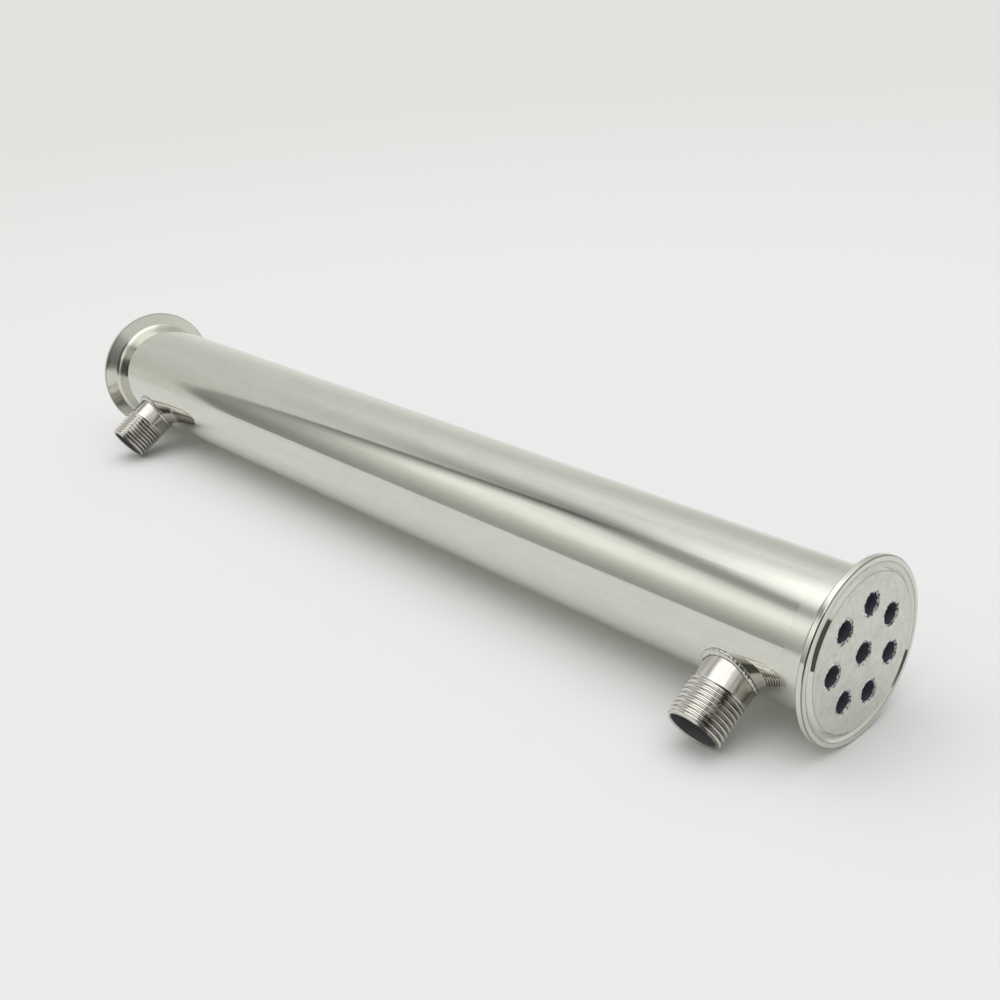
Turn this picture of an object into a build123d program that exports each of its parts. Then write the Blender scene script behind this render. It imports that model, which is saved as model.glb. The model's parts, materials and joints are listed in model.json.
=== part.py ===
from build123d import *
import math
import os

# A reflux condenser: a cooling jacket round straight vapour tubes, with a clamp ferrule at each end and two water
# ports. X runs along its axis and out of the near sealing face, whose centre is the origin. Z is up, with the
# condenser lying on its ferrule rims and port tips. Lengths are in millimetres and angles in degrees.

# The condenser as a whole
overall_length = 457.2
cut_overrun = 4.0

# The cooling jacket
shell_radius = 25.4
shell_wall = 1.65

# The clamp ferrules, each turned in one piece with its tube sheet, whose drilled face stands a little over the rim
face_rise = 0.4
flange_rise = 6.6
rim_width = 2.2
rim_edge_chamfer = 0.3
bevel_angle = 20.0
neck_fillet = 2.5
ferrule_length = 12.7
sheet_thickness = 6.0
sheet_corner_chamfer = 1.0
groove_inset = 3.5
groove_half_width = 1.3

# The vapour tubes: one in the middle and a ring of others, set back a little from the sealing faces
tube_radius = 4.5
tube_wall = 0.5
tube_jacket_gap = 2.65
tube_ring_count = 7
tube_ring_start_angle = 79.3
tube_recess = 0.6
tube_hole_gap = 0.05

# The seal weld that joins each tube's end to its hole
tube_weld_sink = 0.1
tube_weld_mouth_gap = 0.04

# The water ports: set on nipples with a half-inch pipe thread, whose crests are the thread radius
port_inset = 34.5
port_neck_length = 6.6
thread_radius = 10.2
thread_length = 15.5
thread_relief = 0.2
port_wall = 1.5
port_mouth_chamfer = 0.4
port_lip_width = 0.3

# The fillet weld round each port's foot, and the hairline between it and what it joins
port_weld_leg = 1.5
port_weld_round_share = 0.8
weld_root_gap = 0.2
weld_hairline = 0.02

# Sizes worked out from those above
shell_bore_radius = shell_radius - shell_wall
shell_length = overall_length - ferrule_length - ferrule_length
flange_radius = shell_radius + flange_rise
groove_radius = flange_radius - groove_inset
tube_bore_radius = tube_radius - tube_wall
tube_hole_radius = tube_radius + tube_hole_gap
tube_ring_radius = shell_bore_radius - tube_jacket_gap - tube_radius
tube_length = overall_length - tube_recess - tube_recess
thread_start = shell_radius + port_neck_length
port_reach = thread_start + thread_length
port_neck_radius = thread_radius - thread_relief
port_bore_radius = port_neck_radius - port_wall
port_mouth_radius = port_bore_radius + port_mouth_chamfer
port_lip_radius = port_mouth_radius + port_lip_width
thread_end = port_reach - (thread_radius - port_lip_radius)

# Each port slopes down until its last thread crest stands on the floor with the ferrule rims
thread_end_distance = math.hypot(thread_end, thread_radius)
port_drop_angle = math.degrees(
    math.asin(flange_radius / thread_end_distance) - math.atan2(thread_radius, thread_end)
)

# The far half mirrors the near half about this plane
middle_plane = Plane.YZ.offset(-overall_length / 2)


def nearest_vertices(outline, points):
    """The corners of a flat outline that lie at the given points."""
    corners = outline.vertices()
    return [min(corners, key=lambda corner: corner.distance_to(Vertex(*point))) for point in points]


def cylinder_along_x(radius, start, end):
    """A round bar about the X axis from one X position to another."""
    return extrude(Plane.YZ.offset(start) * Circle(radius), end - start)


def tube_places():
    """The Y and Z of each vapour tube's axis, the middle one first."""
    places = [(0, 0)]
    for index in range(tube_ring_count):
        angle = math.radians(tube_ring_start_angle - index * 360 / tube_ring_count)
        places.append((tube_ring_radius * math.cos(angle), tube_ring_radius * math.sin(angle)))
    return places


def ferrule():
    """The near ferrule: rim, bevel and neck outside, gasket groove round the face, tube sheet across the bore."""
    bevel_depth = flange_rise * math.tan(math.radians(bevel_angle))
    rim_front = -face_rise
    rim_back = rim_front - rim_width
    rim_front_edge = (rim_front, flange_radius)
    rim_back_edge = (rim_back, flange_radius)
    neck_corner = (rim_back - bevel_depth, shell_radius)
    sheet_corner = (-sheet_thickness, shell_bore_radius)
    outline = make_face(
        Polyline(
            (0, 0),
            (0, groove_radius),
            (rim_front, groove_radius),
            rim_front_edge,
            rim_back_edge,
            neck_corner,
            (-ferrule_length, shell_radius),
            (-ferrule_length, shell_bore_radius),
            sheet_corner,
            (-sheet_thickness, 0),
            close=True,
        )
    )
    outline = chamfer(nearest_vertices(outline, [rim_front_edge, rim_back_edge]), rim_edge_chamfer)
    outline = fillet(nearest_vertices(outline, [neck_corner]), neck_fillet)
    outline = chamfer(nearest_vertices(outline, [sheet_corner]), sheet_corner_chamfer)
    outline -= Pos(rim_front, groove_radius) * Circle(groove_half_width)
    body = revolve(outline, Axis.X)
    for y, z in tube_places():
        body -= Pos(0, y, z) * cylinder_along_x(tube_hole_radius, -sheet_thickness - cut_overrun, cut_overrun)
    return body


def vapour_tube():
    """One straight vapour tube about the X axis."""
    start = -tube_recess - tube_length
    outside = cylinder_along_x(tube_radius, start, -tube_recess)
    bore = cylinder_along_x(tube_bore_radius, start - cut_overrun, cut_overrun)
    return outside - bore


def tube_weld():
    """The seal weld on a tube's near end: a ring that slopes from the hole's wall down to the tube's mouth."""
    mouth = (-tube_recess, tube_bore_radius + tube_weld_mouth_gap)
    foot = (-tube_recess, tube_radius)
    brim = (-tube_weld_sink, tube_radius)
    return revolve(make_face(Polyline(mouth, foot, brim, close=True)), Axis.X)


def placed_port(piece):
    """A piece modelled about Z, with the jacket's axis along X, set at the near port's place and slope."""
    return Pos(-port_inset, 0, 0) * Rot(90 + port_drop_angle, 0, 0) * piece


def port():
    """The near water port: a thread with chamfered ends on a plain neck, cut to sit on the jacket."""
    outline = make_face(
        Polyline(
            (port_bore_radius, 0, 0),
            (port_neck_radius, 0, 0),
            (port_neck_radius, 0, thread_start - thread_relief),
            (thread_radius, 0, thread_start),
            (thread_radius, 0, thread_end),
            (port_lip_radius, 0, port_reach),
            (port_mouth_radius, 0, port_reach),
            (port_bore_radius, 0, port_reach - port_mouth_chamfer),
            close=True,
        )
    )
    seat = cylinder_along_x(shell_radius + weld_root_gap, -port_reach, port_reach)
    return placed_port(revolve(outline, Axis.Z) - seat)


def port_weld():
    """The fillet weld round the near port's foot, following the saddle where the port meets the jacket."""
    inner_radius = port_neck_radius + weld_hairline
    outer_radius = port_neck_radius + port_weld_leg
    base_radius = shell_radius + weld_hairline
    top_radius = shell_radius + port_weld_leg
    ring = extrude(Circle(outer_radius) - Circle(inner_radius), port_reach)
    ring &= cylinder_along_x(top_radius, -port_reach, port_reach)
    ring -= cylinder_along_x(base_radius, -port_reach, port_reach)
    sides = ring.faces().filter_by(GeomType.CYLINDER)
    outer_wall = min(sides, key=lambda face: abs(face.radius - outer_radius))
    top = min(sides, key=lambda face: abs(face.radius - top_radius))
    shoulder = [edge for edge in top.edges() if any(edge.is_same(other) for other in outer_wall.edges())]
    return placed_port(fillet(shoulder, port_weld_leg * port_weld_round_share))


def shell():
    """The cooling jacket, open into both ports."""
    start = -ferrule_length - shell_length
    body = cylinder_along_x(shell_radius, start, -ferrule_length)
    body -= cylinder_along_x(shell_bore_radius, start - cut_overrun, cut_overrun)
    port_hole = placed_port(extrude(Circle(port_bore_radius), port_reach))
    return body - port_hole - mirror(port_hole, middle_plane)


nodes = {"shell": shell()}

for part_name, near_piece in (("ferrule", ferrule()), ("port", port()), ("port_weld", port_weld())):
    nodes[f"near_{part_name}"] = near_piece
    nodes[f"far_{part_name}"] = mirror(near_piece, middle_plane)

for number, (tube_y, tube_z) in enumerate(tube_places(), start=1):
    tube_place = Pos(0, tube_y, tube_z)
    near_tube_weld = tube_place * tube_weld()
    nodes[f"tube_{number}"] = tube_place * vapour_tube()
    nodes[f"near_tube_weld_{number}"] = near_tube_weld
    nodes[f"far_tube_weld_{number}"] = mirror(near_tube_weld, middle_plane)

os.makedirs("parts", exist_ok=True)
for node_name, node in nodes.items():
    export_step(node, f"parts/{node_name}.step")
print(f"ports slope down {port_drop_angle:.2f} degrees, {len(nodes)} nodes written")
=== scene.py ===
"""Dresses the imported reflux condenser: turned ferrules, threaded ports, weld metal and steel finishes.

Everything is in metres, in the part's own frame: X runs out of the near sealing face, Z is up.
"""

from __future__ import annotations

import json
import logging
import math
from collections.abc import Callable, Iterable, Mapping, Sequence
from dataclasses import dataclass
from enum import Enum
from typing import Any, Union

import bpy
import numpy as np
from mathutils import Matrix, Vector
from mathutils.geometry import delaunay_2d_cdt

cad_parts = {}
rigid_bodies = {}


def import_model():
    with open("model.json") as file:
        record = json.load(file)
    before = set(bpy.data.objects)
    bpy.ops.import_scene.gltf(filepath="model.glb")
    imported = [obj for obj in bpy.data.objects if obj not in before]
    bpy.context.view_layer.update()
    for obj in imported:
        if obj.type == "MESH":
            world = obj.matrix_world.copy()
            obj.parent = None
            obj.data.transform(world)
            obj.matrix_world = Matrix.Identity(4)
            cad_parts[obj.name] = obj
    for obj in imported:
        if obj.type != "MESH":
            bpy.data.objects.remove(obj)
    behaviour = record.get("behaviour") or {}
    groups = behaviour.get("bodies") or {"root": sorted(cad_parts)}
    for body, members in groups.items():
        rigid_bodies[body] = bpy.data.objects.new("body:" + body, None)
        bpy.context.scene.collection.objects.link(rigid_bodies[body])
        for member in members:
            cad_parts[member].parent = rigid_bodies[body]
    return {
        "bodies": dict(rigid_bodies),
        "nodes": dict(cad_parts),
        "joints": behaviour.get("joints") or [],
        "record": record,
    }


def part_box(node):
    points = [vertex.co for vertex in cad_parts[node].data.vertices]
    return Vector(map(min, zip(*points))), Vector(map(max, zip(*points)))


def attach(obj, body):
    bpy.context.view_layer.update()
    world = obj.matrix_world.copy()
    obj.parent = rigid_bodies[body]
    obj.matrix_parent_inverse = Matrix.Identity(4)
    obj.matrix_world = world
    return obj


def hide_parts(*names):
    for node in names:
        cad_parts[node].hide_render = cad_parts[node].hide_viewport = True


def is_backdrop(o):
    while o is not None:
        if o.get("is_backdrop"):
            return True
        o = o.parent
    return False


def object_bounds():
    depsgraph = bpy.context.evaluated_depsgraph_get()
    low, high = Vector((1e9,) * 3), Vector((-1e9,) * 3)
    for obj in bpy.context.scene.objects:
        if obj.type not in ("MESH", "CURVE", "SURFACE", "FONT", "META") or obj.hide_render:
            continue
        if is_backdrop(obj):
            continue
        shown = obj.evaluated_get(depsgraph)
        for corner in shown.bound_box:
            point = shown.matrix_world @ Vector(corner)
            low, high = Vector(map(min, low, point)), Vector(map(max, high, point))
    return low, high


LOG = logging.getLogger("condenser")
MM = 0.001

Colour = tuple[float, float, float]
# Where a soft step or a band starts and ends
Span = tuple[float, float]


class End(Enum):
    """The two ends of the condenser; the far one mirrors the near one."""

    NEAR = "near"
    FAR = "far"


class Slot(Enum):
    """The record's material slots."""

    JACKET = "jacket_steel"
    FERRULE = "ferrule_steel"
    PORT = "port_steel"
    TUBE = "tube_steel"
    WELD = "weld_metal"


def _operator(operation: str, swapped: bool = False) -> Callable[[Signal, Operand], Signal]:
    """Makes one of Signal's operators; a swapped one has the signal on its right."""

    def apply(self: Signal, other: Operand) -> Signal:
        """Adds the Math node."""
        operands = (other, self) if swapped else (self, other)
        return self.graph.maths(operation, *operands)

    return apply


class Signal:
    """A node's output that takes part in Python arithmetic; each operation adds a Math node."""

    def __init__(self, graph: Graph, socket: bpy.types.NodeSocket) -> None:
        """Wraps one output socket of a graph."""
        self.graph = graph
        self.socket = socket

    __add__ = _operator("ADD")
    __radd__ = _operator("ADD", swapped=True)
    __sub__ = _operator("SUBTRACT")
    __rsub__ = _operator("SUBTRACT", swapped=True)
    __mul__ = _operator("MULTIPLY")
    __rmul__ = _operator("MULTIPLY", swapped=True)

    def rise(self, low: float, high: float) -> Signal:
        """A smooth step from 0 where this value is low to 1 where it is high."""
        return self.graph.signal(
            "ShaderNodeMapRange",
            {"interpolation_type": "SMOOTHSTEP"},
            {"Value": self, "From Min": low, "From Max": high},
        )

    def between(self, low: float, high: float, soft: float) -> Signal:
        """1 where this value lies between two limits, with soft flanks of the given width."""
        return self.rise(low - soft, low + soft) * (1.0 - self.rise(high - soft, high + soft))


Operand = Union[float, Signal]
# Darkening (stain and painted shade), relief and matt share
Grain = tuple[Signal, Signal, Operand]


class Graph:
    """The nodes of one material or world."""

    def __init__(self, tree: bpy.types.NodeTree) -> None:
        """Starts from an empty node tree."""
        tree.nodes.clear()
        self.tree = tree

    def add(
        self,
        kind: str,
        settings: Mapping[str, Any] | None = None,
        inputs: Mapping[str | int, Any] | None = None,
    ) -> bpy.types.Node:
        """Adds one node.

        Args:
            kind: The node's type name.
            settings: Properties set before the inputs; "stops" gives a ramp's places and greys.
            inputs: Values or signals by socket name or number.

        Returns:
            The new node.
        """
        node = self.tree.nodes.new(kind)
        for key, value in (settings or {}).items():
            if key == "stops":
                self._set_stops(node.color_ramp, value)
            else:
                setattr(node, key, value)
        for key, value in (inputs or {}).items():
            if isinstance(value, Signal):
                self.tree.links.new(value.socket, node.inputs[key])
            else:
                node.inputs[key].default_value = value
        return node

    @staticmethod
    def _set_stops(ramp: bpy.types.ColorRamp, stops: Sequence[tuple[float, float]]) -> None:
        """Gives a colour ramp its stops, each a place and a grey."""
        while len(ramp.elements) < len(stops):
            ramp.elements.new(1.0)
        for element, (place, grey) in zip(ramp.elements, stops):
            element.position = place
            element.color = (grey, grey, grey, 1.0)

    def signal(
        self,
        kind: str,
        settings: Mapping[str, Any] | None = None,
        inputs: Mapping[str | int, Any] | None = None,
        output: str | int = 0,
    ) -> Signal:
        """Adds one node and returns one of its outputs as a signal."""
        return Signal(self, self.add(kind, settings, inputs).outputs[output])

    def maths(self, operation: str, *operands: Operand) -> Signal:
        """Adds a Math node on values."""
        return self.signal("ShaderNodeMath", {"operation": operation}, dict(enumerate(operands)))

    def blend(self, share: Operand, first: Any, second: Any) -> Signal:
        """Mixes two colours by a share of the second."""
        return self.signal("ShaderNodeMix", {"data_type": "RGBA"}, {0: share, 6: first, 7: second}, 2)

    def scaled(self, vector: Signal, factors: Sequence[float]) -> Signal:
        """Multiplies a vector by a factor along each axis."""
        inputs = {0: vector, 1: tuple(factors)}
        return self.signal("ShaderNodeVectorMath", {"operation": "MULTIPLY"}, inputs)

    def times(self, colour: Signal, level: Signal) -> Signal:
        """Multiplies a colour by a level."""
        return self.signal("ShaderNodeVectorMath", {"operation": "SCALE"}, {0: colour, "Scale": level})

    def place(self) -> Signal:
        """The position on the piece, in metres in the part's frame."""
        return self.signal("ShaderNodeTexCoord", output="Object")

    def split(self, vector: Signal) -> tuple[Signal, Signal, Signal]:
        """The three parts of a vector."""
        node = self.add("ShaderNodeSeparateXYZ", inputs={0: vector})
        return Signal(self, node.outputs[0]), Signal(self, node.outputs[1]), Signal(self, node.outputs[2])

    def noise(self, vector: Signal, scales: Sequence[float], detail: float = 2.0) -> Signal:
        """Noise from 0 to 1 whose features repeat so many times per metre along each axis."""
        return self.signal(
            "ShaderNodeTexNoise",
            inputs={
                "Vector": self.scaled(vector, scales),
                "Scale": 1.0,
                "Detail": detail,
                "Roughness": 0.55,
            },
        )

    def bump(self, height: Signal, depth: float) -> Signal:
        """Turns a height from 0 to 1 into a normal, for a relief of the given depth."""
        return self.signal("ShaderNodeBump", inputs={"Height": height, "Strength": 1.0, "Distance": depth})


class Profile:
    """A section through a turned piece: straight runs and rounded corners, as axial and radial places.

    The path runs so that the metal lies on its right, with the axis pointing right and the radius up.
    """

    def __init__(self, corners: Sequence[tuple[float, float, float]], steps: int = 8) -> None:
        """Rounds a run of corners.

        Args:
            corners: Axial place, radius and rounding of each corner; the first and last aren't rounded.
            steps: Straight pieces in each rounding.
        """
        self.points: list[np.ndarray] = [np.array(corners[0][:2], float)]
        self.tangents: list[tuple[np.ndarray, np.ndarray]] = []
        self.steps = steps
        for before, corner, after in zip(corners, corners[1:], corners[2:]):
            self._round_corner(*(np.array(item, float) for item in (before, corner, after)))
        self._straight_to(np.array(corners[-1][:2], float))

    def _straight_to(self, target: np.ndarray) -> None:
        """Adds a straight run, unless it would have no length."""
        run = target - self.points[-1]
        length = np.hypot(*run)
        if length > 1e-9:
            self.points.append(target)
            self.tangents.append((run / length, run / length))

    def _round_corner(self, before: np.ndarray, corner: np.ndarray, after: np.ndarray) -> None:
        """Adds the straight run up to a corner and the corner's rounding."""
        arrive = corner[:2] - before[:2]
        arrive = arrive / np.hypot(*arrive)
        leave = after[:2] - corner[:2]
        leave = leave / np.hypot(*leave)
        turn = math.atan2(arrive[0] * leave[1] - arrive[1] * leave[0], float(arrive @ leave))
        cut = corner[2] * math.tan(abs(turn) / 2)
        self._straight_to(corner[:2] - arrive * cut)
        if corner[2] <= 0:
            return
        side = math.copysign(corner[2], turn)
        centre = self.points[-1] + side * np.array([-arrive[1], arrive[0]])
        last = arrive
        for step in range(1, self.steps + 1):
            angle = turn * step / self.steps
            tangent = np.array(
                [
                    arrive[0] * math.cos(angle) - arrive[1] * math.sin(angle),
                    arrive[0] * math.sin(angle) + arrive[1] * math.cos(angle),
                ]
            )
            self.points.append(centre - side * np.array([-tangent[1], tangent[0]]))
            self.tangents.append((last, tangent))
            last = tangent


class Shape:
    """Vertices, faces and the normal at each face's corners, gathered before they become one piece."""

    def __init__(self) -> None:
        """Starts empty."""
        self.points: list[np.ndarray] = []
        self.faces: list[np.ndarray] = []
        self.normals: list[np.ndarray] = []
        self.count = 0

    def _store(self, points: np.ndarray, faces: np.ndarray, normals: np.ndarray) -> None:
        """Keeps some vertices, with faces that count from the first of them."""
        self.points.append(points)
        self.faces.append(faces + self.count)
        self.normals.append(normals)
        self.count += len(points)

    @staticmethod
    def _wrapped_quads(rows: int, columns: int) -> np.ndarray:
        """Corner numbers of the quads of a grid that closes on itself along its columns."""
        row, column = np.meshgrid(np.arange(rows - 1), np.arange(columns), indexing="ij")
        following = (column + 1) % columns
        corners = [row * columns + column, (row + 1) * columns + column]
        corners += [(row + 1) * columns + following, row * columns + following]
        return np.stack(corners, axis=-1).reshape(-1, 4)

    def turn(self, profile: Profile, columns: int, centre: tuple[float, float] = (0.0, 0.0)) -> None:
        """Turns a profile about a line along the first axis.

        Args:
            profile: The section, as axial place and radius.
            columns: Pieces round the turn.
            centre: Where the line crosses the other two axes.
        """
        angle = np.linspace(0, 2 * np.pi, columns, endpoint=False)
        section = np.array(profile.points)
        points = np.empty((len(section), columns, 3))
        points[..., 0] = section[:, :1]
        points[..., 1] = centre[0] + section[:, 1:] * np.cos(angle)
        points[..., 2] = centre[1] + section[:, 1:] * np.sin(angle)
        tangent = np.array(profile.tangents)
        ahead = np.roll(angle, -1)
        corner_turns = ((0, angle), (1, angle), (1, ahead), (0, ahead))
        normals = np.empty((len(tangent), columns, 4, 3))
        for corner, (edge, place) in enumerate(corner_turns):
            normals[:, :, corner, 0] = tangent[:, edge, 1:]
            normals[:, :, corner, 1] = -tangent[:, edge, :1] * np.cos(place)
            normals[:, :, corner, 2] = -tangent[:, edge, :1] * np.sin(place)
        faces = self._wrapped_quads(len(section), columns)
        self._store(points.reshape(-1, 3), faces, normals.reshape(-1, 4, 3))

    def loft(self, points: np.ndarray) -> None:
        """Adds a smooth grid of rows that each close on themselves, as an array of rows by columns by 3."""
        rows, columns = points.shape[:2]
        along = np.gradient(points, axis=0)
        around = np.roll(points, -1, axis=1) - np.roll(points, 1, axis=1)
        normal = np.cross(along, around)
        normal /= np.maximum(np.linalg.norm(normal, axis=-1, keepdims=True), 1e-15)
        faces = self._wrapped_quads(rows, columns)
        self._store(points.reshape(-1, 3), faces, normal.reshape(-1, 3)[faces])

    def flat(self, axial: float, rim: np.ndarray, holes: Sequence[np.ndarray], facing: int) -> None:
        """Adds a flat face with round holes, square to the first axis.

        Args:
            axial: The face's place along the first axis.
            rim: The outer loop, as an array of places along the other two axes.
            holes: The loop of each hole.
            facing: 1 or -1, the side along the first axis that it faces.
        """
        loops = [rim, *holes]
        edges: list[tuple[int, int]] = []
        first = 0
        for loop in loops:
            edges += [(first + k, first + (k + 1) % len(loop)) for k in range(len(loop))]
            first += len(loop)
        plane = [Vector(place) for loop in loops for place in loop]
        made, _, triangles, *_ = delaunay_2d_cdt(plane, edges, [], 0, 1e-9)
        flat_points = np.array([(axial, place[0], place[1]) for place in made])
        faces = np.array([triangle[::facing] for triangle in triangles])
        middles = flat_points[faces].mean(axis=1)[:, 1:]
        keep = np.ones(len(faces), bool)
        for hole in holes:
            centre = hole.mean(axis=0)
            radius = np.linalg.norm(hole[0] - centre)
            keep &= np.linalg.norm(middles - centre, axis=1) > radius
        faces = faces[keep]
        normals = np.zeros((len(faces), 3, 3))
        normals[..., 0] = facing
        self._store(flat_points, faces, normals)

    def placed(self, matrix: np.ndarray) -> Shape:
        """A copy moved by a 4 by 4 matrix, turned inside out again where the matrix mirrors."""
        linear = matrix[:3, :3]
        mirrored = np.linalg.det(linear) < 0
        result = Shape()
        result.count = self.count
        for points, faces, normals in zip(self.points, self.faces, self.normals):
            result.points.append(points @ linear.T + matrix[:3, 3])
            result.faces.append(faces[:, ::-1] if mirrored else faces)
            moved = normals @ linear.T
            result.normals.append(moved[:, ::-1] if mirrored else moved)
        return result

    def piece(
        self, name: str, slot: Slot, nodes: Iterable[str], material: bpy.types.Material
    ) -> bpy.types.Object:
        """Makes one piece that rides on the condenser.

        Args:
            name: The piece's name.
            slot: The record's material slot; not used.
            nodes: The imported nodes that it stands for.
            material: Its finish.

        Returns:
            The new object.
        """
        mesh = bpy.data.meshes.new(name)
        faces = [tuple(face) for block in self.faces for face in block.tolist()]
        mesh.from_pydata(np.concatenate(self.points).tolist(), [], faces)
        mesh.polygons.foreach_set("use_smooth", [True] * len(mesh.polygons))
        mesh.materials.append(material)
        corner_normals = np.concatenate([block.reshape(-1, 3) for block in self.normals])
        mesh.normals_split_custom_set(corner_normals.tolist())
        mesh.update()
        made = bpy.data.objects.new(name, mesh)
        bpy.context.scene.collection.objects.link(made)
        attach(made, "root")
        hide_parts(*nodes)
        LOG.info("%s: %d faces, stands for %s", name, len(faces), ", ".join(nodes))
        return made


def ring(radius: float, columns: int, centre: tuple[float, float] = (0.0, 0.0)) -> np.ndarray:
    """Places round a circle, as an array along the two axes of its plane."""
    angle = np.linspace(0, 2 * np.pi, columns, endpoint=False)
    return np.column_stack([centre[0] + radius * np.cos(angle), centre[1] + radius * np.sin(angle)])


def wander(angle: np.ndarray, seed: int, waves: Sequence[int]) -> np.ndarray:
    """An uneven wave round a circle, between about -1 and 1, the same for the same seed.

    Args:
        angle: Places round the circle, in radians.
        seed: Which wave.
        waves: How many times each part of the wave repeats round the circle.

    Returns:
        The wave at each place.
    """
    random = np.random.default_rng(seed)
    total = np.zeros_like(angle)
    for count in waves:
        total += random.uniform(0.5, 1.0) * np.sin(count * angle + random.uniform(0, 2 * np.pi))
    return total / len(waves) ** 0.5


@dataclass(frozen=True)
class Layout:
    """The condenser's own sizes and places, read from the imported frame."""

    length: float
    flange_radius: float
    jacket_radius: float
    ferrule_length: float
    tube_places: tuple[tuple[float, float], ...]
    port_places: Mapping[End, float]
    port_axis: tuple[float, float, float]
    port_tip: float
    port_bore: float
    thread_radius: float
    thread_start: float

    @classmethod
    def read(cls, frame: Mapping[str, Any]) -> Layout:
        """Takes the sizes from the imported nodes' boxes and the record's mounts.


        Returns:
            The layout.
        """
        mounts = {mount["name"]: mount for mount in frame["record"]["mounts"]}
        low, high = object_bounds()
        ferrule_low, ferrule_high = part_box("near_ferrule")
        jacket_low, jacket_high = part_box("shell")
        thread = mounts["near_port_thread"]
        axis = Vector(thread["axis"])
        thread_middle = Vector(thread["pos_m"]) - Vector((thread["pos_m"][0], 0, 0))
        tubes = [mount for name, mount in mounts.items() if name.startswith("tube_bore_")]
        port_corners = frame["nodes"]["near_port"].data.vertices
        return cls(
            length=high[0] - low[0],
            flange_radius=(ferrule_high[1] - ferrule_low[1]) / 2,
            jacket_radius=(jacket_high[2] - jacket_low[2]) / 2,
            ferrule_length=ferrule_high[0] - ferrule_low[0],
            tube_places=tuple((tube["pos_m"][1], tube["pos_m"][2]) for tube in tubes),
            port_places={end: mounts[f"{end.value}_port_thread"]["pos_m"][0] for end in End},
            port_axis=tuple(axis),
            port_tip=max(corner.co.dot(axis) for corner in port_corners),
            port_bore=mounts["near_port_bore"]["dims"]["r_mm"] * MM,
            thread_radius=thread["dims"]["r_mm"] * MM,
            thread_start=thread_middle.length - thread["dims"]["length_mm"] * MM / 2,
        )

    @property
    def middle(self) -> float:
        """Where the plane midway between the sealing faces crosses the axis."""
        return -self.length / 2

    @property
    def port_half_span(self) -> float:
        """Half the distance between the two ports."""
        return abs(self.port_places[End.NEAR] - self.middle)

    def end_matrix(self, end: End) -> np.ndarray:
        """The matrix that takes a piece made at the near end to the given end."""
        matrix = np.eye(4)
        if end is End.FAR:
            matrix[0, 0] = -1.0
            matrix[0, 3] = -self.length
        return matrix

    def port_matrix(self, end: End) -> np.ndarray:
        """The matrix that takes a piece turned about the first axis to a port, alike at both ends."""
        axis = Vector(self.port_axis)
        across = Vector((1.0, 0.0, 0.0))
        matrix = Matrix((axis, across, axis.cross(across))).transposed().to_4x4()
        matrix.translation = (self.port_places[end], 0.0, 0.0)
        return np.array(matrix)


@dataclass(frozen=True)
class SteelFinish:
    """Bare stainless steel; each finish says how its grain runs."""

    name: str
    tint: Colour = (0.70, 0.70, 0.635)
    shade: Colour = (0.56, 0.56, 0.505)
    roughness: float = 0.12
    uneven: float = 0.04
    matt_gain: float = 0.0
    relief: float = 3e-6
    metallic: float = 1.0

    def grain(self, graph: Graph) -> Grain:
        """The finish's pattern.

        Args:
            graph: The material's nodes.

        Returns:
            Darkening (stain and painted shade), relief and matt share, each from 0 to 1 over the surface.
        """
        raise NotImplementedError

    def material(self) -> bpy.types.Material:
        """Makes the material.

        Returns:
            The material.
        """
        material = bpy.data.materials.new(self.name)
        material.use_nodes = True
        graph = Graph(material.node_tree)
        darkening, height, matt = self.grain(graph)
        # Blends towards the shade colour by the darkening, which holds real stain and, on some finishes,
        # painted shade
        colour = graph.blend(darkening, (*self.tint, 1.0), (*self.shade, 1.0))
        rough = self.roughness + self.uneven * (height + darkening - 1.0) + self.matt_gain * matt
        steel = graph.signal(
            "ShaderNodeBsdfPrincipled",
            inputs={
                "Base Color": colour,
                "Metallic": self.metallic,
                "Roughness": rough,
                "Normal": graph.bump(height, self.relief),
            },
        )
        graph.add("ShaderNodeOutputMaterial", inputs={"Surface": steel})
        return material


@dataclass(frozen=True)
class SatinJacket(SteelFinish):
    """Tube polished along its length: long fine scratches over a faint mottle."""

    def grain(self, graph: Graph) -> Grain:
        """Streaks along the tube, with patches where the polishing belt pressed less."""
        place = graph.place()
        streak = graph.noise(place, (6, 1500, 1500), 3.0)
        patch = graph.noise(place, (60, 180, 180), 3.0)
        mottle = graph.noise(place, (170, 330, 330), 3.0)
        darkening = (patch - 0.5) * 0.6 + (streak - 0.5) * 0.8 + (mottle - 0.5) * 0.4 + 0.15
        return darkening, streak * 0.4 + mottle * 0.6, patch


@dataclass(frozen=True)
class ShadeRing:
    """A thin ring of painted shade round the axis, between two radii."""

    inner: float
    outer: float
    soft: float
    strength: float = 1.0


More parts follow.
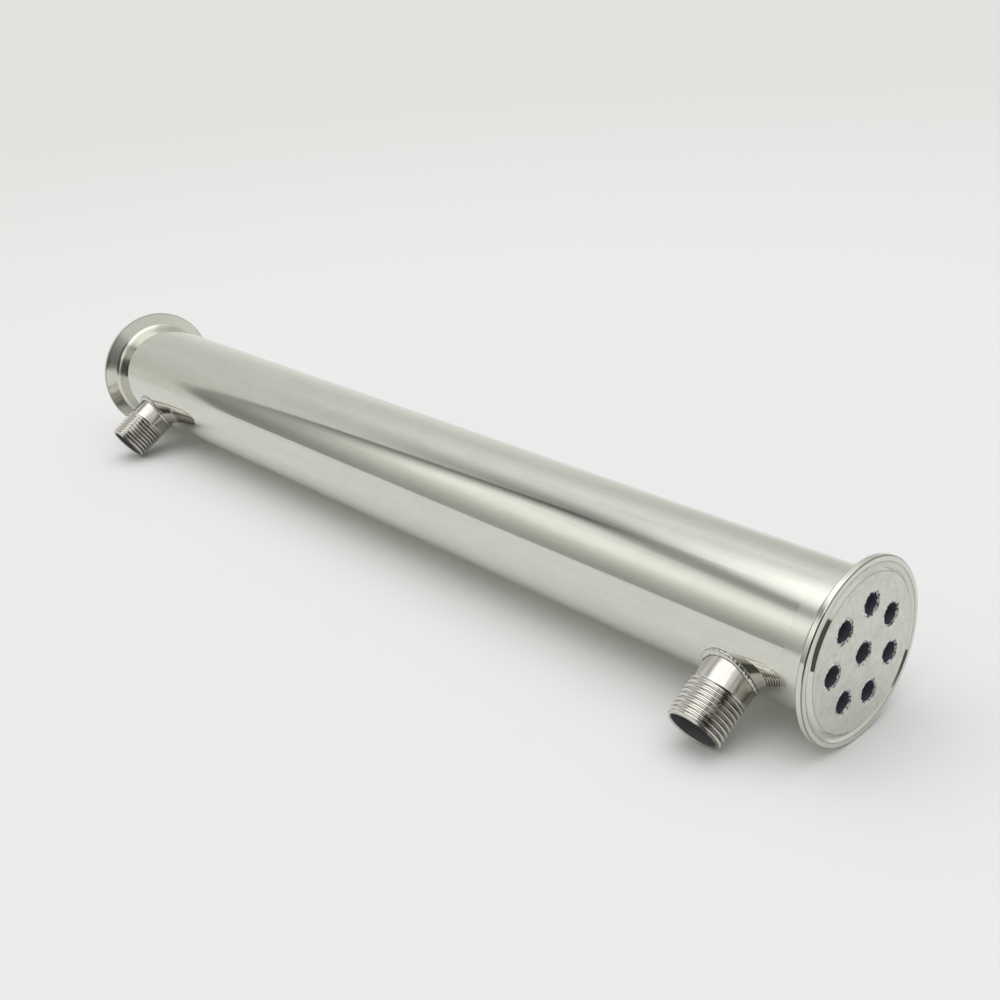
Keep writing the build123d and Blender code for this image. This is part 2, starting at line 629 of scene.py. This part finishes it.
@dataclass(frozen=True)
class TurnedFerrule(SteelFinish):
    """Turned steel: a polished groove and rim, a brushed back, and a fine matt face inside the groove.

    Depths are measured inward from the sealing face.
    """

    middle: float = 0.0
    half_length: float = 0.0
    face_depth: Span = (0.1 * MM, 0.3 * MM)
    face_edge: Span = (27.0 * MM, 27.1 * MM)
    back_depth: Span = (2.2 * MM, 3.4 * MM)
    # Spans of the painted shade lines on the rim's outer front and back edges
    rim_edge: Span = (31.45 * MM, 31.7 * MM)
    front_edge_depth: Span = (0.7 * MM, 0.95 * MM)
    back_edge_depth: Span = (2.4 * MM, 2.7 * MM)
    back_edge_soft: float = 0.1 * MM
    groove_depth: Span = (1.8 * MM, 2.0 * MM)
    # Painted shade: dark rings at the groove's two lips and in its floor
    groove_shade_rings: tuple[ShadeRing, ...] = (
        ShadeRing(26.85 * MM, 27.1 * MM, 0.08 * MM),
        ShadeRing(29.8 * MM, 30.1 * MM, 0.08 * MM),
        ShadeRing(28.3 * MM, 28.7 * MM, 0.1 * MM, 0.5),
    )

    def grain(self, graph: Graph) -> Grain:
        """Tool marks round the axis, a mottled face, and painted shade in the groove and on the rim's
        edges.
        """
        place = graph.place()
        along, across, up = graph.split(place)
        inward = self.half_length - graph.maths("ABSOLUTE", along - self.middle)
        radius = graph.maths("SQRT", across * across + up * up)
        face = (1.0 - inward.rise(*self.face_depth)) * (1.0 - radius.rise(*self.face_edge))
        # Painted shade: thin dark lines along the rim's front and back edges
        back_edge = inward.between(*self.back_edge_depth, self.back_edge_soft)
        edges = radius.rise(*self.rim_edge) * (1.0 - inward.rise(*self.front_edge_depth) + back_edge)
        # Painted shade in the groove, kept to the front of the ferrule
        groove_shade: Operand = 0.0
        for shade_ring in self.groove_shade_rings:
            within = radius.between(shade_ring.inner, shade_ring.outer, shade_ring.soft)
            groove_shade = groove_shade + shade_ring.strength * within
        groove_shade = groove_shade * (1.0 - inward.rise(*self.groove_depth))
        speckle = graph.noise(place, (1700, 1700, 1700), 3.0)
        cloud = graph.noise(place, (90, 140, 140), 3.0)
        marks = graph.noise(place, (4000, 40, 40), 2.0)
        mottle = graph.noise(place, (480, 480, 480), 3.0)
        darkening = face * (cloud * 0.3 + mottle * 0.5 + speckle * 0.3 - 0.47) + speckle * 0.06
        # Adds the painted shade of the rim's edges and of the groove to the face's mottle
        darkening = darkening + edges * 0.7 + groove_shade * (0.2 + 0.6 * cloud)
        matt = face + inward.rise(*self.back_depth) * 0.6
        return darkening, speckle * 0.35 + marks * 0.65, matt


@dataclass(frozen=True)
class PortFinish(SteelFinish):
    """A finish that follows the two ports."""

    middle: float = 0.0
    half_span: float = 0.0
    axis: tuple[float, float, float] = (0.0, -1.0, 0.0)

    def port_place(self, graph: Graph) -> tuple[Signal, Signal, Signal]:
        """The distances along the nearer port, across it and over it."""
        ahead, side, up = graph.split(graph.place())
        from_middle = ahead - self.middle
        across = from_middle - self.half_span * graph.maths("SIGN", from_middle)
        over = up * self.axis[1] - side * self.axis[2]
        along = side * self.axis[1] + up * self.axis[2]
        return along, across, over


@dataclass(frozen=True)
class CutThread(PortFinish):
    """Machined pipe: a satin neck brushed along the port, and painted shade on the thread.

    The painted shade is thin on the flanks, and fills the roots on the side that faces out of the near end.
    """

    thread_start: float = 0.0
    pitch: float = 1.814 * MM
    first_thread: float = 1.5 * MM
    neck_end: Span = (-0.4 * MM, 0.6 * MM)
    # Spans across the port of painted shade: the neck's darker side, the roots' shaded side and a dark band
    neck_shade_side: Span = (4.0 * MM, 7.5 * MM)
    shaded_side: Span = (5.0 * MM, 7.0 * MM)
    shade_band: Span = (4.8 * MM, 7.6 * MM)
    shade_band_soft: float = 0.6 * MM

    def grain(self, graph: Graph) -> Grain:
        """Streaks along the port, and painted shade between the thread's crests and on one side of the
        neck.
        """
        along, across, over = self.port_place(graph)
        place = graph.signal("ShaderNodeCombineXYZ", inputs={0: along, 1: across, 2: over})
        streak = graph.noise(place, (60, 1100, 1100), 3.0)
        blotch = graph.noise(place, (160, 420, 420), 3.0)
        angle = graph.maths("ARCTAN2", over, across)
        past_start = along - self.thread_start
        turns = past_start * (1 / self.pitch) - angle * (0.5 / math.pi)
        tooth = graph.maths("PINGPONG", turns, 0.5) * 2.0
        # Painted shade: darker flanks and roots stand in for shade and dark reflections in the thread
        flank_shade = tooth.between(0.36, 0.68, 0.1) * (0.2 + blotch * 0.4)
        root = tooth.rise(0.3, 0.55) * (0.55 + blotch * 0.4)
        on_shaded_side = across.rise(*self.shaded_side)
        # Painted shade: a ragged dark band across the thread where the shaded side begins
        shade_band = across.between(*self.shade_band, self.shade_band_soft) * blotch.rise(0.42, 0.58)
        thread_shade = flank_shade * (1.0 - on_shaded_side) + root * on_shaded_side + shade_band * 0.5
        plain = 1.0 - past_start.rise(*self.neck_end)
        # Painted shade on the neck's side out of the near end, over a random blotchy tone
        neck_shade_and_tone = 0.16 * across.rise(*self.neck_shade_side) + (blotch - 0.4) * 0.6 + (streak - 0.45) * 0.5
        return past_start.rise(0.0, self.first_thread) * thread_shade + plain * neck_shade_and_tone + 0.03, streak, plain


@dataclass(frozen=True)
class WeldMetal(SteelFinish):
    """Weld metal brushed clean: coarse ripples and a faint stain."""

    def grain(self, graph: Graph) -> Grain:
        """Coarse speckle and stain."""
        place = graph.place()
        fleck = graph.noise(place, (900, 900, 900), 3.0).rise(0.42, 0.66)
        return fleck, graph.noise(place, (1300, 1300, 1300), 3.0), 0.0


@dataclass(frozen=True)
class PortBeadMetal(PortFinish, WeldMetal):
    """Weld metal of a port's bead, with painted shade along both of its edges."""

    neck_radius: float = 10.0 * MM
    jacket_radius: float = 25.4 * MM
    neck_crease_shade: Span = (0.2 * MM, 0.45 * MM)
    toe_crease_shade: Span = (0.12 * MM, 0.34 * MM)

    def grain(self, graph: Graph) -> Grain:
        """Coarse speckle, and painted shade in the creases where the bead meets the neck and the jacket."""
        speckle, height, matt = super().grain(graph)
        _, across, over = self.port_place(graph)
        _, side, up = graph.split(graph.place())
        off_neck = graph.maths("SQRT", across * across + over * over) - self.neck_radius
        off_jacket = graph.maths("SQRT", side * side + up * up) - self.jacket_radius
        # Painted shade: dark lines in the creases at the neck and at the jacket
        edges = 2.0 - off_neck.rise(*self.neck_crease_shade) - off_jacket.rise(*self.toe_crease_shade)
        return edges * 0.9 + (speckle - 0.5) * 0.5, height, matt


@dataclass(frozen=True)
class DrawnTube(SteelFinish):
    """Drawn tube, dull inside; its dark colours are painted shade for the insides of bores."""

    def grain(self, graph: Graph) -> Grain:
        """Drawing lines along the tube."""
        place = graph.place()
        return graph.noise(place, (30, 300, 300), 2.0), graph.noise(place, (20, 2500, 2500), 2.0), 0.0


@dataclass(frozen=True)
class PaleFloor:
    """Pale floor with painted light falloff away from the condenser, and a painted dark reflection in
    front.
    """

    near: Colour = (0.86, 0.86, 0.865)
    far: Colour = (0.785, 0.79, 0.775)
    fade: Span = (0.25, 1.6)
    # Colour and place of the painted dark reflection
    dark: Colour = (0.08, 0.08, 0.078)
    dark_ahead: Span = (0.17, 0.22)
    dark_side: Span = (-0.14, -0.13)
    roughness: float = 0.9
    specular: float = 0.1

    def material(self) -> bpy.types.Material:
        """Makes the floor's material.

        Returns:
            The material.
        """
        material = bpy.data.materials.new("pale_floor")
        material.use_nodes = True
        graph = Graph(material.node_tree)
        place = graph.place()
        distance = graph.signal("ShaderNodeVectorMath", {"operation": "LENGTH"}, {0: place}, "Value")
        # Painted light: lighter near the condenser and darker far from it
        colour = graph.blend(distance.rise(*self.fade), (*self.near, 1.0), (*self.far, 1.0))
        ahead, side, _ = graph.split(place)
        # Painted reflection: a dark patch at the front that only glossy rays see
        glossy_dark_patch = ahead.rise(*self.dark_ahead) * (1.0 - side.rise(*self.dark_side))
        mirrored = graph.signal("ShaderNodeLightPath", output="Is Glossy Ray")
        colour = graph.blend(glossy_dark_patch * mirrored, colour, (*self.dark, 1.0))
        paint = graph.signal(
            "ShaderNodeBsdfPrincipled",
            inputs={"Base Color": colour, "Roughness": self.roughness, "Specular IOR Level": self.specular},
        )
        graph.add("ShaderNodeOutputMaterial", inputs={"Surface": paint})
        return material


@dataclass(frozen=True)
class EndPart:
    """A part that the condenser has at each end."""

    layout: Layout
    finish: bpy.types.Material

    def build(self, end: End) -> Any:
        """Makes the part.

        Args:
            end: Which end it is for.

        Returns:
            The piece, or a list of its pieces.
        """
        raise NotImplementedError


@dataclass(frozen=True)
class Ferrule(EndPart):
    """A clamp ferrule turned in one piece with the drilled tube sheet."""

    face_rise: float = 0.4 * MM
    rim_width: float = 2.2 * MM
    rim_round: float = 0.3 * MM
    front_round: float = 0.65 * MM
    bevel_angle: float = math.radians(20)
    neck_round: float = 2.5 * MM
    groove_radius: float = 28.5 * MM
    groove_half_width: float = 1.45 * MM
    groove_depth: float = 1.7 * MM
    groove_round: float = 1.0 * MM
    lip_round: float = 0.12 * MM
    sheet_thickness: float = 6.0 * MM
    sheet_chamfer: float = 1.0 * MM
    wall: float = 1.65 * MM
    hole_radius: float = 4.55 * MM
    hole_round: float = 0.22 * MM
    columns: int = 256
    hole_columns: int = 64

    def _outside(self) -> Profile:
        """The section from the drilled face, over groove, rim and neck, to the back of the sheet."""
        flange, neck = self.layout.flange_radius, self.layout.jacket_radius
        rim_front = -self.face_rise
        rim_back = rim_front - self.rim_width
        bevel_end = rim_back - (flange - neck) * math.tan(self.bevel_angle)
        inner = self.groove_radius - self.groove_half_width
        outer = self.groove_radius + self.groove_half_width
        back = -self.sheet_thickness
        return Profile(
            [
                (0.0, inner - 2 * self.lip_round, 0.0),
                (0.0, inner, self.lip_round),
                (-self.groove_depth, self.groove_radius, self.groove_round),
                (rim_front, outer, self.lip_round),
                (rim_front, flange, self.front_round),
                (rim_back, flange, self.rim_round),
                (bevel_end, neck, self.neck_round),
                (-self.layout.ferrule_length, neck, 0.0),
                (-self.layout.ferrule_length, neck - self.wall, 0.0),
                (back - self.sheet_chamfer, neck - self.wall, 0.0),
                (back, neck - self.wall - self.sheet_chamfer, 0.0),
            ]
        )

    def _hole(self) -> Profile:
        """The section of one tube hole, from the back of the sheet to the sealing face."""
        return Profile(
            [
                (-self.sheet_thickness, self.hole_radius, 0.0),
                (0.0, self.hole_radius, self.hole_round),
                (0.0, self.hole_radius + 2 * self.hole_round, 0.0),
            ]
        )

    def build(self, end: End) -> bpy.types.Object:
        """Makes the ferrule at one end."""
        shape = Shape()
        outside = self._outside()
        shape.turn(outside, self.columns)
        for centre in self.layout.tube_places:
            shape.turn(self._hole(), self.hole_columns, centre)
        mouth = self.hole_radius + 2 * self.hole_round
        places = self.layout.tube_places
        front_holes = [ring(mouth, self.hole_columns, centre) for centre in places]
        back_holes = [ring(self.hole_radius, self.hole_columns, centre) for centre in places]
        shape.flat(0.0, ring(outside.points[0][1], self.columns), front_holes, 1)
        shape.flat(-self.sheet_thickness, ring(outside.points[-1][1], self.columns), back_holes, -1)
        node = f"{end.value}_ferrule"
        return shape.placed(self.layout.end_matrix(end)).piece(
            f"{end.value}_turned_ferrule", Slot.FERRULE, [node], self.finish
        )


@dataclass(frozen=True)
class SealWelds(EndPart):
    """The uneven seal welds that join the tubes' ends to the sheet at one end."""

    depth: float = 0.5 * MM
    brim: float = 0.1 * MM
    hole_radius: float = 4.56 * MM
    inner_radius: float = 3.8 * MM
    depth_wander: float = 0.16 * MM
    inner_wander: float = 0.36 * MM
    lumps: float = 0.26 * MM
    clearance: float = 0.03 * MM
    spread_power: float = 0.8
    dish_power: float = 1.5
    columns: int = 128
    rows: int = 14

    def build(self, end: End) -> bpy.types.Object:
        """Makes the welds at one end as one piece."""
        shape = Shape()
        angle = np.linspace(0, 2 * np.pi, self.columns, endpoint=False)
        share = np.linspace(0, 1, self.rows)[:, None]
        for number, (across, up) in enumerate(self.layout.tube_places):
            seed = 100 * number + (0 if end is End.NEAR else 7)
            ragged = wander(angle, seed, (2, 3, 5, 9, 14, 23, 37, 51))
            inner = self.inner_radius + self.inner_wander * ragged
            deep = self.depth + self.depth_wander * wander(angle, seed + 1, (2, 3, 5, 8, 13))
            lump = self.lumps * np.sin(np.pi * share) * wander(angle + 2 * share, seed + 2, (7, 11, 17, 26))
            spread = (self.hole_radius - inner) * share**self.spread_power
            radius = np.minimum(inner, self.hole_radius) + spread - lump
            along = -self.brim - (deep - self.brim) * (1 - share) ** self.dish_power + lump
            along = np.minimum(along, -self.clearance)
            places = [along, across + radius * np.cos(angle), up + radius * np.sin(angle)]
            shape.loft(np.stack(places, axis=-1))
        nodes = [f"{end.value}_tube_weld_{number}" for number in range(1, len(self.layout.tube_places) + 1)]
        return shape.placed(self.layout.end_matrix(end)).piece(
            f"{end.value}_seal_welds", Slot.WELD, nodes, self.finish
        )


@dataclass(frozen=True)
class WaterPort(EndPart):
    """A threaded water port with its plain neck, cut to the jacket's curve."""

    bore_finish: bpy.types.Material
    pitch: float = 1.814 * MM
    depth: float = 0.62 * MM
    neck_relief: float = 0.2 * MM
    mouth_chamfer: float = 0.4 * MM
    lip_width: float = 0.3 * MM
    runout: float = 2.2 * MM
    crest_share: float = 0.1
    sink: float = 0.25 * MM
    wall: float = 1.65 * MM
    bore_overrun: float = 2.0 * MM
    columns: int = 160
    row_step: float = 0.075 * MM

    def _thread(self, along: np.ndarray, angle: np.ndarray) -> np.ndarray:
        """The outside radius at places along and round the port."""
        size = self.layout
        turns = (along - size.thread_start) / self.pitch - angle / (2 * np.pi)
        tooth = np.abs(2 * (turns % 1.0) - 1)
        tooth = np.clip((tooth - self.crest_share) / (1 - 2 * self.crest_share), 0, 1)
        tooth = 0.5 - 0.5 * np.cos(np.pi * tooth)
        ease = np.clip((along - size.thread_start) / self.runout, 0, 1)
        ease = ease * ease * (3 - 2 * ease)
        crest = size.thread_radius - self.neck_relief * (1 - ease)
        radius = crest - self.depth * (1 - tooth) * ease
        lip = size.port_bore + self.mouth_chamfer + self.lip_width
        return np.minimum(radius, lip + (size.port_tip - along))

    def build(self, end: End) -> list[bpy.types.Object]:
        """Makes the port at one end, as its threaded outside and its bore."""
        size = self.layout
        angle = np.linspace(0, 2 * np.pi, self.columns, endpoint=False)
        count = math.ceil((size.port_tip - size.thread_start) / self.row_step)
        along = np.linspace(size.port_tip, size.thread_start, count)[:, None] + 0 * angle
        neck = size.thread_radius - self.neck_relief
        seat = np.sqrt(size.jacket_radius**2 - (neck * np.sin(angle)) ** 2) - self.sink
        share = np.linspace(0, 1, 8)[1:, None]
        below = size.thread_start + (seat - size.thread_start) * share
        along = np.concatenate([along, below])
        radius = self._thread(along, angle)
        outside = Shape()
        outside.loft(np.stack([along, radius * np.cos(angle), radius * np.sin(angle)], axis=-1))
        mouth = size.port_bore + self.mouth_chamfer
        mouth_foot = size.port_tip - self.mouth_chamfer
        lip = [(mouth_foot, size.port_bore, 0.0), (size.port_tip, mouth, 0.0)]
        lip.append((size.port_tip, mouth + self.lip_width, 0.0))
        outside.turn(Profile(lip), self.columns)
        inside = Shape()
        bore_foot = size.jacket_radius - self.wall - self.bore_overrun
        bore = [(bore_foot, size.port_bore, 0.0), (mouth_foot, size.port_bore, 0.0)]
        inside.turn(Profile(bore), self.columns)
        nodes = [f"{end.value}_port"]
        matrix = size.port_matrix(end)
        return [
            outside.placed(matrix).piece(f"{end.value}_threaded_port", Slot.PORT, nodes, self.finish),
            inside.placed(matrix).piece(f"{end.value}_port_bore", Slot.PORT, nodes, self.bore_finish),
        ]


@dataclass(frozen=True)
class PortBead(EndPart):
    """The rippled fillet weld round a port's foot."""

    neck_radius: float = 10.0 * MM
    leg: float = 1.1 * MM
    toe_leg: float = 1.15 * MM
    toe_lean: float = 0.6 * MM
    lean_angle: float = math.radians(125)
    leg_wander: float = 0.12 * MM
    fullness: float = 0.8
    ripple: float = 0.14 * MM
    ripples: int = 42
    ripple_bow: float = 1.6
    ripple_wander: float = 0.8
    sink: float = 0.12 * MM
    columns: int = 368
    rows: int = 16

    def build(self, end: End) -> bpy.types.Object:
        """Makes the bead at one end."""
        angle = np.linspace(0, 2 * np.pi, self.columns, endpoint=False)
        seed = 31 if end is End.NEAR else 57
        up_leg = self.leg + self.leg_wander * wander(angle, seed, (2, 3, 5, 8, 13))
        out_leg = self.toe_leg + self.toe_lean * np.cos(angle - self.lean_angle)
        out_leg = out_leg + self.leg_wander * wander(angle, seed + 1, (2, 3, 5, 8, 13, 21))
        radius = self.layout.jacket_radius

        def saddle(reach: np.ndarray) -> np.ndarray:
            """The jacket's height at a distance from the port's axis."""
            return np.sqrt(radius**2 - (reach * np.sin(angle)) ** 2)

        neck = np.full_like(angle, self.neck_radius)
        root = np.stack([saddle(neck), neck])
        top = root + np.stack([up_leg, np.full_like(angle, -self.sink)])
        toe = np.stack([saddle(self.neck_radius + out_leg) - self.sink, self.neck_radius + out_leg])
        middle = root + self.fullness * ((top - root) + (toe - root))
        control = 2 * middle - 0.5 * (top + toe)
        share = np.linspace(0, 1, self.rows)[:, None, None]
        section = (1 - share) ** 2 * top + 2 * share * (1 - share) * control + share**2 * toe
        outward = (middle - root) / np.linalg.norm(middle - root, axis=0)
        share = share[:, :, 0]
        phase = self.ripples * angle + self.ripple_bow * np.cos(np.pi * (share - 0.5))
        phase = phase + self.ripple_wander * wander(angle, seed + 2, (3, 7))
        lift = self.ripple * np.sin(np.pi * share) * (np.abs(np.sin(phase / 2)) - 0.5)
        section = section + outward * lift[:, None, :]
        along, reach = section[:, 0], section[:, 1]
        shape = Shape()
        shape.loft(np.stack([along, reach * np.cos(angle), reach * np.sin(angle)], axis=-1))
        return shape.placed(self.layout.port_matrix(end)).piece(
            f"{end.value}_port_bead", Slot.WELD, [f"{end.value}_port_weld"], self.finish
        )


@dataclass(frozen=True)
class Bearing:
    """A direction in the room: degrees round from +X and over the horizon, and two of its parts."""

    turn: Signal
    height: Signal
    side: Signal
    up: Signal

    @classmethod
    def read(cls, graph: Graph) -> Bearing:
        """The direction that a world's shader is asked about, its turn from 90 to 450 degrees."""
        ahead, side, up = graph.split(graph.signal("ShaderNodeTexCoord", output="Generated"))
        turn = graph.maths("DEGREES", graph.maths("ARCTAN2", side, ahead))
        height = graph.maths("DEGREES", graph.maths("ARCSINE", up))
        return cls(graph.maths("WRAP", turn, 450.0, 90.0), height, side, up)


@dataclass(frozen=True)
class Studio:
    """The floor and the room round it.

    Steel mirrors a room drawn by direction: an open sky, a leaning side wall and a dim side at the front.
    A plain soft dome lights the floor, and the camera sees an even backdrop.
    """

    floor_height: float
    floor_half_width: float = 30.0
    floor_middle: float = -0.2
    backdrop: Colour = (0.80, 0.80, 0.785)
    low_tint: Colour = (1.0, 1.005, 0.955)
    high_tint: Colour = (1.0, 1.0, 1.0)
    dome_low_tint: Colour = (1.0, 1.01, 0.9)
    dome_high_tint: Colour = (1.0, 0.995, 1.03)
    open_sky: tuple[tuple[float, float], ...] = (
        (0, 0.84), (6, 0.81), (12, 0.78), (20, 0.74), (27, 0.71), (33, 0.72), (38, 0.785),
        (44, 0.86), (49, 0.87), (52, 0.95), (55, 1.1), (58, 1.28), (61, 1.6), (90, 1.65),
    )
    side_wall: tuple[tuple[float, float], ...] = (
        (0, 0.42), (4, 0.42), (9, 0.49), (13, 0.57), (17, 0.66), (21, 0.79), (25, 0.96),
        (30, 1.13), (35, 1.13), (40, 1.0), (43.5, 0.78), (46.5, 0.48), (49, 0.4), (52, 0.42),
        (54, 0.62), (57, 1.1), (61, 1.6), (90, 1.65),
    )
    wall_edge: float = 213.0
    wall_lean: float = 0.335
    dim_side: float = 0.09
    dim_top: tuple[float, float] = (0.743, 0.669)

    def floor(self) -> bpy.types.Object:
        """Makes the floor.

        Returns:
            The floor, marked as stage.
        """
        half = self.floor_half_width
        mesh = bpy.data.meshes.new("studio_floor")
        corners = [(-half, -half, 0), (half, -half, 0), (half, half, 0), (-half, half, 0)]
        mesh.from_pydata(corners, [], [(0, 1, 2, 3)])
        mesh.materials.append(PaleFloor().material())
        made = bpy.data.objects.new("studio_floor", mesh)
        made.location = (self.floor_middle, 0.0, self.floor_height)
        bpy.context.scene.collection.objects.link(made)
        made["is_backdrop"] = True
        return made

    @staticmethod
    def _by_height(graph: Graph, height: Signal, levels: Sequence[tuple[float, float]]) -> Signal:
        """Light that changes with the angle above the horizon, from pairs of degrees and brightness."""
        stops = [(degrees / 90, level / 2) for degrees, level in levels]
        ramp = graph.signal("ShaderNodeValToRGB", {"stops": stops}, {"Fac": height * (1 / 90)})
        return 2.0 * graph.signal("ShaderNodeSeparateColor", inputs={0: ramp})

    def _sky_light(self, graph: Graph, at: Bearing, behind: Signal) -> Signal:
        """The open sky, darker towards the side wall's corner and low at both sides."""
        corner = at.turn.rise(166, 198) * behind * at.height.rise(31, 48) * (1.0 - at.height.rise(50, 57))
        low = 1.0 - at.height.rise(16, 30)
        low_right = (1.0 - at.turn.rise(118, 138)) * low
        low_left = at.turn.rise(174, 198) * behind * low
        middle = (1.0 - at.turn.rise(150, 174)) * at.height.between(30, 50, 7)
        light = self._by_height(graph, at.height, self.open_sky) * (1.0 - 0.6 * corner)
        return light * (1.0 - 0.13 * low_right - 0.13 * low_left + 0.09 * middle)

    def _wall_light(self, graph: Graph, at: Bearing, past_edge: Signal) -> Signal:
        """The side wall, shaded along its edge, with a lighter panel and soffit further round."""
        shaded = 0.2 + 0.28 * at.height.rise(-2, 10) + 0.32 * at.height.rise(16, 34)
        shaded = shaded * (1.0 - at.height.rise(46, 52)) * (1.0 - past_edge.rise(0, 11))
        soffit = at.turn.rise(224, 248) * at.height.between(45, 53, 2)
        panel = 1.0 + 0.14 * at.turn.rise(226, 248) * at.height.rise(26, 36) + 0.4 * soffit
        return self._by_height(graph, at.height, self.side_wall) * panel * (1.0 - shaded)

    def _on_dim_side(self, at: Bearing) -> Signal:
        """1 on the dim side of the room, whose left part is lower."""
        over_top = self.dim_top[0] * at.side + self.dim_top[1] * at.up
        low_part = at.turn.rise(264, 274) * (1.0 - at.height.rise(24, 34))
        span = low_part + at.turn.rise(296, 314) * (1.0 - low_part)
        return span * (1.0 - at.turn.rise(340, 376)) * (1.0 - over_top.rise(0.16, 0.22))

    def _mirrored_room(self, graph: Graph, at: Bearing) -> Signal:
        """The room that steel mirrors."""
        behind = 1.0 - at.turn.rise(262, 276)
        past_edge = at.turn - (self.wall_edge - self.wall_lean * at.height)
        on_wall = past_edge.rise(-0.7, 0.7) * behind * at.height.rise(-3, -1)
        sky = self._sky_light(graph, at, behind)
        light = sky + on_wall * (self._wall_light(graph, at, past_edge) - sky)
        light = light + self._on_dim_side(at) * (self.dim_side - light)
        tint = graph.blend(at.height.rise(10, 60), (*self.low_tint, 1.0), (*self.high_tint, 1.0))
        return graph.times(tint, light)

    def _soft_dome(self, graph: Graph, at: Bearing) -> Signal:
        """The light on the floor: brightest overhead, more from the front, and less from the right."""
        right = at.turn.rise(264, 284) * (1.0 - at.turn.rise(340, 376)) * (1.0 - at.height.rise(36, 58))
        light = (0.58 + 1.18 * at.height.rise(32, 74)) * (1.0 - 0.6 * at.side * at.height.rise(12, 32))
        tint = graph.blend(at.height.rise(20, 70), (*self.dome_low_tint, 1.0), (*self.dome_high_tint, 1.0))
        return graph.times(tint, light * (1.0 - 0.35 * right))

    def sky(self) -> None:
        """Gives the world its light by direction."""
        world = bpy.data.worlds.new("studio_room")
        bpy.context.scene.world = world
        world.use_nodes = True
        graph = Graph(world.node_tree)
        at = Bearing.read(graph)
        mirrored = graph.signal("ShaderNodeLightPath", output="Is Glossy Ray")
        seen = graph.signal("ShaderNodeLightPath", output="Is Camera Ray")
        colour = graph.blend(mirrored, self._soft_dome(graph, at), self._mirrored_room(graph, at))
        colour = graph.blend(seen, colour, (*self.backdrop, 1.0))
        shine = graph.signal("ShaderNodeBackground", inputs={"Color": colour, "Strength": 1.0})
        graph.add("ShaderNodeOutputWorld", inputs={"Surface": shine})


@dataclass(frozen=True)
class ViewPoint:
    """The photograph's camera, fitted to the condenser's outline."""

    place: tuple[float, float, float] = (177.501 * MM, -293.636 * MM, 212.079 * MM)
    heading: float = math.radians(49.6333)
    pitch: float = math.radians(24.7324)
    roll: float = math.radians(-4.559)
    focal_pixels: float = 1237.985
    frame_pixels: float = 1000.0
    sensor_mm: float = 36.0

    def build(self) -> bpy.types.Object:
        """Makes the camera and looks through it.

        Returns:
            The camera.
        """
        back = Vector(
            (
                math.sin(self.heading) * math.cos(self.pitch),
                -math.cos(self.heading) * math.cos(self.pitch),
                math.sin(self.pitch),
            )
        )
        level = Vector((math.cos(self.heading), math.sin(self.heading), 0.0))
        rise = back.cross(level)
        right = math.cos(self.roll) * level + math.sin(self.roll) * rise
        up = math.cos(self.roll) * rise - math.sin(self.roll) * level
        camera = bpy.data.cameras.new("photograph_view")
        camera.sensor_width = self.sensor_mm
        camera.lens = self.focal_pixels * self.sensor_mm / self.frame_pixels
        camera.clip_start = 0.01
        camera.clip_end = 200.0
        made = bpy.data.objects.new("photograph_view", camera)
        matrix = Matrix((right, up, back)).transposed().to_4x4()
        matrix.translation = self.place
        made.matrix_world = matrix
        bpy.context.scene.collection.objects.link(made)
        bpy.context.scene.camera = made
        return made


def dress_node(frame: Mapping[str, Any], name: str, material: bpy.types.Material) -> None:
    """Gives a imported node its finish."""
    mesh = frame["nodes"][name].data
    mesh.materials.clear()
    mesh.materials.append(material)
    LOG.info("%s: dressed with %s", name, material.name)


def make_finishes(layout: Layout) -> dict[str, bpy.types.Material]:
    """Makes the finishes, fitted to the condenser's sizes.

    Args:
        layout: The condenser's sizes and places.

    Returns:
        The materials by what they dress.
    """
    ports = {"middle": layout.middle, "half_span": layout.port_half_span, "axis": layout.port_axis}
    finishes = {
        "jacket": SatinJacket("jacket_satin_polish", roughness=0.05, matt_gain=0.03, relief=1e-5),
        "ferrule": TurnedFerrule(
            "ferrule_bright_turned",
            shade=(0.13, 0.13, 0.118),
            roughness=0.06,
            matt_gain=0.22,
            relief=6e-6,
            middle=layout.middle,
            half_length=layout.length / 2,
        ),
        "port": CutThread(
            "port_machined",
            (0.74, 0.722, 0.67),
            (0.07, 0.065, 0.058),
            0.08,
            matt_gain=0.11,
            thread_start=layout.thread_start,
            **ports,
        ),
        "weld": WeldMetal("weld_brushed", (0.95, 0.95, 0.93), (0.2, 0.2, 0.19), 0.22, relief=3e-5),
        "bead": PortBeadMetal(
            "bead_brushed",
            (0.66, 0.655, 0.595),
            (0.06, 0.058, 0.055),
            0.12,
            relief=3e-5,
            jacket_radius=layout.jacket_radius,
            **ports,
        ),
        # Painted shade: tubes and port bores are coloured dark for the shade inside them
        "tube": DrawnTube("tube_painted_shade", (0.2, 0.19, 0.25), (0.14, 0.133, 0.18), 0.55, metallic=0.5),
        "bore": DrawnTube("bore_painted_shade", (0.21, 0.205, 0.22), (0.15, 0.145, 0.16), 0.55, metallic=0.4),
    }
    return {use: finish.material() for use, finish in finishes.items()}


def main() -> None:
    """Builds the condenser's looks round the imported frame."""
    logging.basicConfig(level=logging.INFO, format="%(message)s")
    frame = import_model()
    cad_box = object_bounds()
    bpy.context.scene.view_settings.view_transform = "Standard"
    layout = Layout.read(frame)
    finishes = make_finishes(layout)
    dress_node(frame, "shell", finishes["jacket"])
    for number in range(1, len(layout.tube_places) + 1):
        dress_node(frame, f"tube_{number}", finishes["tube"])
    parts: list[EndPart] = [
        Ferrule(layout, finishes["ferrule"]),
        SealWelds(layout, finishes["weld"]),
        WaterPort(layout, finishes["port"], finishes["bore"]),
        PortBead(layout, finishes["bead"]),
    ]
    for end in End:
        for part in parts:
            part.build(end)
    studio = Studio(floor_height=cad_box[0][2])
    studio.floor()
    studio.sky()
    ViewPoint().build()


if __name__ == "__main__":
    main()
